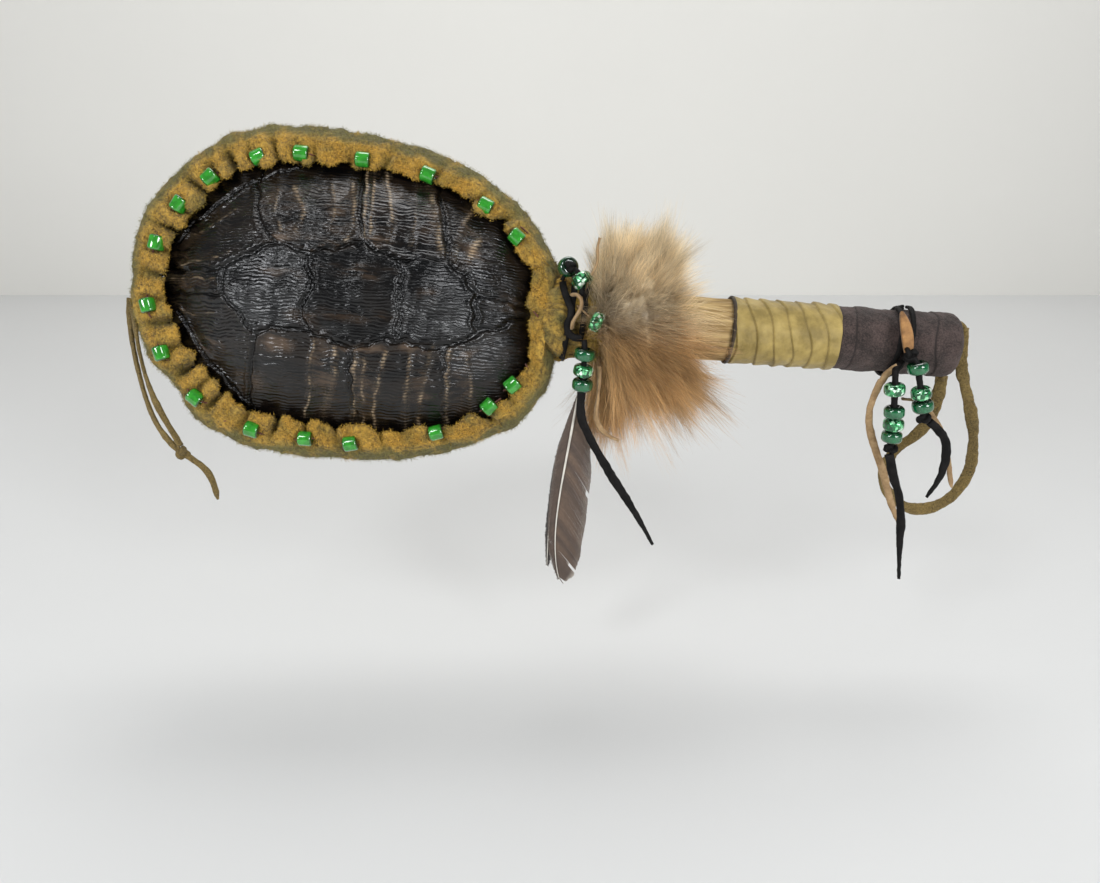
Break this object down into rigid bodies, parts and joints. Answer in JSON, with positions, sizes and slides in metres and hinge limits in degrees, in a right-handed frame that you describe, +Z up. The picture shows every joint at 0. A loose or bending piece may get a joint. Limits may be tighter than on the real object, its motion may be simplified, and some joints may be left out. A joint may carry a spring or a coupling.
{
  "type": "turtle shell hand rattle",
  "caption": "Hand rattle: a glossy turtle shell bound in fuzzy suede with green beads, on a leather-wrapped wooden handle with fur, feather and beaded laces.",
  "frame": {"origin": "middle of the grip on the handle's axis", "axes": "+X along the handle from the shell to the butt, +Z up with the rattle held level, the shell's face towards -Y leaning back 15 degrees"},
  "size_m": [0.4042, 0.097, 0.1978],
  "materials": {
    "turtle_shell": "varnished natural shell, glossy",
    "mustard_suede": "fuzzy split hide",
    "sinew": "waxed sinew",
    "rim_bead_glass": "opaque gloss",
    "green_glass": "translucent gloss",
    "silver_lined_glass": "silver lined, crackled",
    "pebble": "water worn",
    "driftwood": "bare, weathered",
    "khaki_leather": "smooth, matt",
    "brown_suede": "suede",
    "black_leather": "matt lace",
    "tan_leather": "rough lace",
    "olive_suede": "suede lace",
    "fur": "long soft hair",
    "feather": "barbed vane"
  },
  "bodies": {
    "rattle": {"carapace": "turtle_shell", "plastron": "turtle_shell", "hide_cover": "mustard_suede", "rim_stitching": "sinew", "rim_bead_01": "rim_bead_glass", "rim_bead_02": "rim_bead_glass", "rim_bead_03": "rim_bead_glass", "rim_bead_04": "rim_bead_glass", "rim_bead_05": "rim_bead_glass", "rim_bead_06": "rim_bead_glass", "rim_bead_07": "rim_bead_glass", "rim_bead_08": "rim_bead_glass", "rim_bead_09": "rim_bead_glass", "rim_bead_10": "rim_bead_glass", "rim_bead_11": "rim_bead_glass", "rim_bead_12": "rim_bead_glass", "rim_bead_13": "rim_bead_glass", "rim_bead_14": "rim_bead_glass", "rim_bead_15": "rim_bead_glass", "rim_bead_16": "rim_bead_glass", "rim_bead_17": "rim_bead_glass", "rim_bead_18": "rim_bead_glass", "handle_stick": "driftwood", "yellow_wrap": "khaki_leather", "brown_wrap": "brown_suede", "handle_binding": "black_leather", "leaf_strip": "tan_leather", "neck_collar": "mustard_suede", "neck_binding": "black_leather", "neck_bead_1": "green_glass", "neck_bead_2": "silver_lined_glass", "neck_bead_3": "silver_lined_glass", "fur_tuft": "fur"},
    "pebble_row_1": {"pebbles_1": "pebble"},
    "pebble_row_2": {"pebbles_2": "pebble"},
    "pebble_row_3": {"pebbles_3": "pebble"},
    "neck_string": {"drop_bead_1": "green_glass", "drop_bead_2": "silver_lined_glass", "drop_bead_3": "green_glass", "neck_tail": "black_leather", "neck_tan_lace": "tan_leather", "feather": "feather"},
    "right_string": {"right_bead_1": "green_glass", "right_bead_2": "silver_lined_glass", "right_bead_3": "green_glass", "right_lace": "black_leather", "right_tail": "black_leather", "right_tan_tail": "tan_leather"},
    "left_string": {"left_bead_1": "silver_lined_glass", "left_bead_2": "green_glass", "left_bead_3": "silver_lined_glass", "left_bead_4": "green_glass", "left_lace": "black_leather", "left_tail": "black_leather", "left_tan_tail": "tan_leather"},
    "wrist_loop": {"wrist_strap": "olive_suede"},
    "tip_thong": {"thong_outer": "olive_suede", "thong_inner": "olive_suede", "thong_knot": "olive_suede"}
  },
  "joints": [
    {"name": "pebble_slide_1", "type": "slide", "parent": "rattle", "child": "pebble_row_1", "axis": [1, 0, 0], "range_m": [-0.025, 0.025]},
    {"name": "pebble_slide_2", "type": "slide", "parent": "rattle", "child": "pebble_row_2", "axis": [1, 0, 0], "range_m": [-0.025, 0.025]},
    {"name": "pebble_slide_3", "type": "slide", "parent": "rattle", "child": "pebble_row_3", "axis": [1, 0, 0], "range_m": [-0.025, 0.025]},
    {"name": "neck_string_swing", "type": "hinge", "parent": "rattle", "child": "neck_string", "pos_m": [-0.1262, -0.025, -0.0055], "axis": [1, 0, 0], "range_deg": [-60, 6]},
    {"name": "right_string_swing", "type": "hinge", "parent": "rattle", "child": "right_string", "pos_m": [0.018, -0.0223, -0.001], "axis": [1, 0, 0], "range_deg": [-60, 3]},
    {"name": "left_string_swing", "type": "hinge", "parent": "rattle", "child": "left_string", "pos_m": [0.011, -0.0223, -0.0095], "axis": [1, 0, 0], "range_deg": [-60, 3]},
    {"name": "wrist_loop_swing", "type": "hinge", "parent": "rattle", "child": "wrist_loop", "pos_m": [0.044, 0, 0], "axis": [1, 0, 0], "range_deg": [-3, 45]},
    {"name": "tip_thong_swing", "type": "hinge", "parent": "rattle", "child": "tip_thong", "pos_m": [-0.333, -0.008, -0.002], "axis": [1, 0, 0], "range_deg": [-60, 1]}
  ]
}
